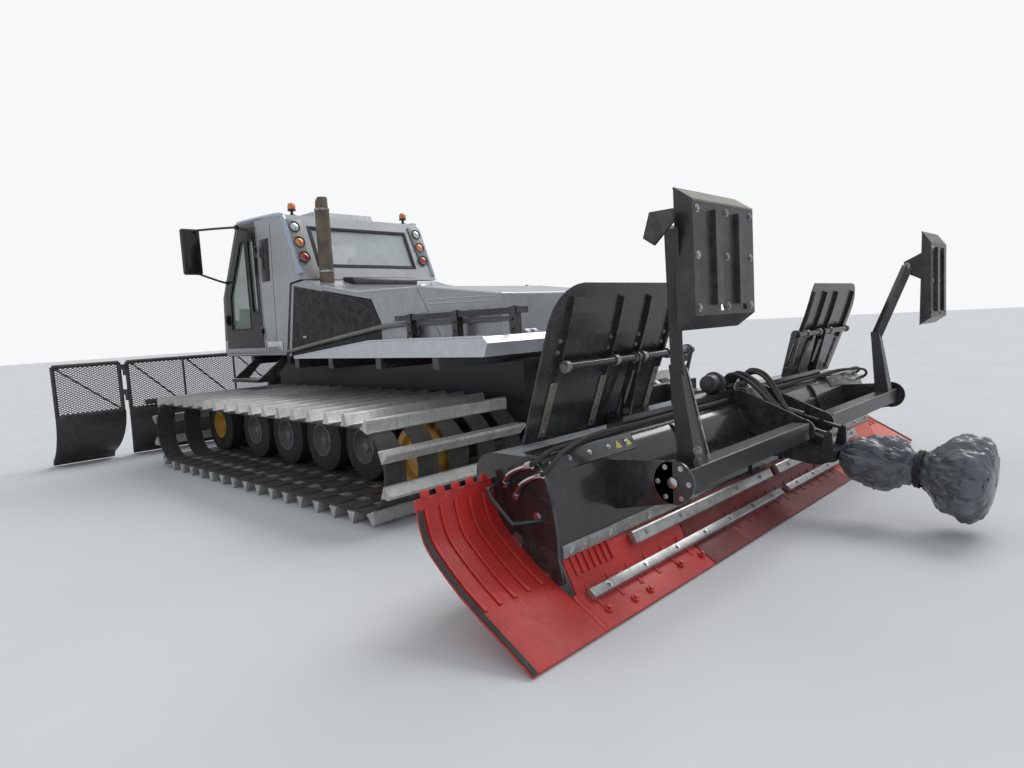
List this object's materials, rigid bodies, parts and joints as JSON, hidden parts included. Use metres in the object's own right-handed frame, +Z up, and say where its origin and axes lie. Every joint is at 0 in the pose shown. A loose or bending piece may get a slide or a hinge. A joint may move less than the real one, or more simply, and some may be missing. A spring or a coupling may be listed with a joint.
{
  "type": "snowcat groomer with front blade and rear tiller",
  "caption": "Tracked snow grooming machine with a cab, engine hood and deck, a mesh-topped front blade with wings, and a rear tiller with finisher mats and track setters.",
  "frame": {"origin": "midway along the whole machine, on its middle plane, at the ground under the tracks", "axes": "+X forward toward the blade, +Y to the machine's left, +Z up"},
  "size_m": [9.2718, 5.8612, 3.0243],
  "materials": {
    "black_steel": "satin",
    "silver_paint": "metallic",
    "black_paint": "gloss",
    "glass": "tinted",
    "rubber": "matte",
    "tyre": "matte",
    "bright_steel": "satin",
    "red_mat": "worn",
    "rail_aluminium": "satin",
    "lamp_lens": "gloss",
    "amber_lens": "gloss",
    "seat_fabric": "matte",
    "cab_plastic": "matte",
    "white_plastic": "satin",
    "exhaust_steel": "rusty",
    "engine_grey": "matte",
    "cover_sheet": "satin",
    "chrome_rod": "polished"
  },
  "bodies": {
    "machine": {"chassis": "black_steel", "engine": "engine_grey", "left_track": "rubber", "right_track": "rubber", "left_wheels": "tyre", "right_wheels": "tyre", "cab_shell": "silver_paint", "cab_glass": "glass", "seats": "seat_fabric", "console": "cab_plastic", "roof_box": "white_plastic", "beacons": "amber_lens", "mirrors": "cab_plastic", "lamps": "lamp_lens", "exhaust": "exhaust_steel", "cowl": "silver_paint", "hood": "silver_paint", "side_panels": "black_paint", "deck": "silver_paint", "deck_rails": "black_steel", "steps": "black_steel"},
    "engine_cover_lid": {"rear_cover": "silver_paint"},
    "left_cab_door": {"left_door": "black_paint", "left_door_glass": "glass"},
    "right_cab_door": {"right_door": "black_paint", "right_door_glass": "glass"},
    "blade_push_frame": {"push_frame": "black_steel"},
    "blade_top_link": {"top_link": "black_steel"},
    "carrier": {"blade_carrier": "black_steel"},
    "blade_lift_barrels": {"lift_barrels": "black_steel"},
    "blade_lift_rods": {"lift_rods": "chrome_rod"},
    "left_angle_cylinder": {"left_angle_barrel": "black_steel"},
    "right_angle_cylinder": {"right_angle_barrel": "black_steel"},
    "left_angle_piston": {"left_angle_rod": "chrome_rod"},
    "right_angle_piston": {"right_angle_rod": "chrome_rod"},
    "blade": {"blade_middle": "black_steel"},
    "left_blade_wing": {"left_wing": "black_steel"},
    "right_blade_wing": {"right_wing": "black_steel"},
    "rear_lift_frame": {"rear_lift": "black_steel"},
    "rear_lift_barrels": {"rear_barrels": "black_steel"},
    "rear_lift_rods": {"rear_rods": "chrome_rod"},
    "tiller": {"tiller_frame": "black_steel", "tiller_case": "black_steel", "end_plates": "black_steel", "finisher_mat": "red_mat", "finisher_rails": "rail_aluminium", "side_mats": "red_mat", "coupling_cover": "cover_sheet"},
    "tiller_rotor": {"rotor": "bright_steel"},
    "left_snow_flap": {"left_flap": "black_steel"},
    "right_snow_flap": {"right_flap": "black_steel"},
    "left_track_setter": {"left_setter": "black_steel"},
    "right_track_setter": {"right_setter": "black_steel"}
  },
  "joints": [
    {"name": "left_door_hinge", "type": "hinge", "parent": "machine", "child": "left_cab_door", "pos_m": [2.617, 0.996, 2], "axis": [0, 0, 1], "range_deg": [0, 75]},
    {"name": "right_door_hinge", "type": "hinge", "parent": "machine", "child": "right_cab_door", "pos_m": [2.617, -0.996, 2], "axis": [0, 0, -1], "range_deg": [0, 75]},
    {"name": "rear_cover_hinge", "type": "hinge", "parent": "machine", "child": "engine_cover_lid", "pos_m": [-1.334, 0, 1.395], "axis": [0, -1, 0], "range_deg": [0, 60]},
    {"name": "blade_lift", "type": "hinge", "parent": "machine", "child": "blade_push_frame", "pos_m": [3.314, 0, 0.43], "axis": [0, -1, 0], "range_deg": [0, 28]},
    {"name": "top_link_turn", "type": "hinge", "parent": "machine", "child": "blade_top_link", "pos_m": [3.314, 0, 0.83], "axis": [0, -1, 0], "range_deg": [0, 28]},
    {"name": "carrier_turn", "type": "hinge", "parent": "blade_push_frame", "child": "carrier", "pos_m": [3.994, 0, 0.43], "axis": [0, -1, 0], "range_deg": [-28, 0]},
    {"name": "blade_barrels_turn", "type": "hinge", "parent": "machine", "child": "blade_lift_barrels", "pos_m": [3.314, 0, 1.06], "axis": [0, -1, 0], "range_deg": [0, 9.8]},
    {"name": "blade_rods_slide", "type": "slide", "parent": "blade_lift_barrels", "child": "blade_lift_rods", "axis": [0.7562, 0, -0.6544], "range_m": [-0.2505, 0]},
    {"name": "blade_angle", "type": "hinge", "parent": "carrier", "child": "blade", "pos_m": [4.114, 0, 0.63], "axis": [0, 0, 1], "range_deg": [-12, 12]},
    {"name": "left_angle_turn", "type": "hinge", "parent": "carrier", "child": "left_angle_cylinder", "pos_m": [4.034, 0.33, 0.63], "axis": [0, 0, 1], "range_deg": [-17.5, 17.5]},
    {"name": "right_angle_turn", "type": "hinge", "parent": "carrier", "child": "right_angle_cylinder", "pos_m": [4.034, -0.33, 0.63], "axis": [0, 0, 1], "range_deg": [-17.5, 17.5]},
    {"name": "left_angle_slide", "type": "slide", "parent": "left_angle_cylinder", "child": "left_angle_piston", "axis": [0.1905, 0.9817, 0], "range_m": [-0.0295, 0.0295]},
    {"name": "right_angle_slide", "type": "slide", "parent": "right_angle_cylinder", "child": "right_angle_piston", "axis": [0.1905, -0.9817, 0], "range_m": [-0.0295, 0.0295]},
    {"name": "left_blade_wing_swing", "type": "hinge", "parent": "blade", "child": "left_blade_wing", "pos_m": [4.184, 2.11, 0.6], "axis": [0, 0, -1], "range_deg": [-20, 30]},
    {"name": "right_blade_wing_swing", "type": "hinge", "parent": "blade", "child": "right_blade_wing", "pos_m": [4.184, -2.11, 0.6], "axis": [0, 0, 1], "range_deg": [-20, 30]},
    {"name": "rear_lift", "type": "hinge", "parent": "machine", "child": "rear_lift_frame", "pos_m": [-1.346, 0, 0.64], "axis": [0, 1, 0], "range_deg": [0, 25]},
    {"name": "rear_barrels_turn", "type": "hinge", "parent": "machine", "child": "rear_lift_barrels", "pos_m": [-1.316, 0, 1.06], "axis": [0, 1, 0], "range_deg": [0, 23.1]},
    {"name": "rear_rods_slide", "type": "slide", "parent": "rear_lift_barrels", "child": "rear_lift_rods", "axis": [-0.9536, 0, -0.3011], "range_m": [-0.1805, 0]},
    {"name": "tiller_swing", "type": "hinge", "parent": "rear_lift_frame", "child": "tiller", "pos_m": [-2.526, 0, 0.7], "axis": [0, 0, 1], "range_deg": [-10, 10]},
    {"name": "rotor_spin", "type": "hinge", "parent": "tiller", "child": "tiller_rotor", "pos_m": [-2.933, 0, 0.35], "axis": [0, 1, 0], "continuous": true},
    {"name": "left_flap_tilt", "type": "hinge", "parent": "tiller", "child": "left_snow_flap", "pos_m": [-3.096, 0, 1.225], "axis": [0, -1, 0], "range_deg": [0, 25]},
    {"name": "right_flap_tilt", "type": "hinge", "parent": "tiller", "child": "right_snow_flap", "pos_m": [-3.096, 0, 1.225], "axis": [0, -1, 0], "range_deg": [0, 25]},
    {"name": "left_setter_fold", "type": "hinge", "parent": "tiller", "child": "left_track_setter", "pos_m": [-3.556, 1.89, 0.62], "axis": [0, -1, 0], "range_deg": [0, 100]},
    {"name": "right_setter_fold", "type": "hinge", "parent": "tiller", "child": "right_track_setter", "pos_m": [-3.556, -1.89, 0.62], "axis": [0, -1, 0], "range_deg": [0, 100]}
  ],
  "couplings": [
    {"joint": "top_link_turn", "follows": "blade_lift", "ratio": 1},
    {"joint": "carrier_turn", "follows": "blade_lift", "ratio": -1},
    {"joint": "blade_barrels_turn", "follows": "blade_lift", "ratio": 0.3452},
    {"joint": "blade_rods_slide", "follows": "blade_lift", "m_per_rad": -0.5109},
    {"joint": "left_angle_turn", "follows": "blade_angle", "ratio": 1.445},
    {"joint": "left_angle_slide", "follows": "blade_angle", "m_per_rad": -0.13838},
    {"joint": "right_angle_turn", "follows": "blade_angle", "ratio": 1.445},
    {"joint": "right_angle_slide", "follows": "blade_angle", "m_per_rad": 0.13838},
    {"joint": "rear_barrels_turn", "follows": "rear_lift", "ratio": 0.919},
    {"joint": "rear_rods_slide", "follows": "rear_lift", "m_per_rad": -0.4113}
  ]
}
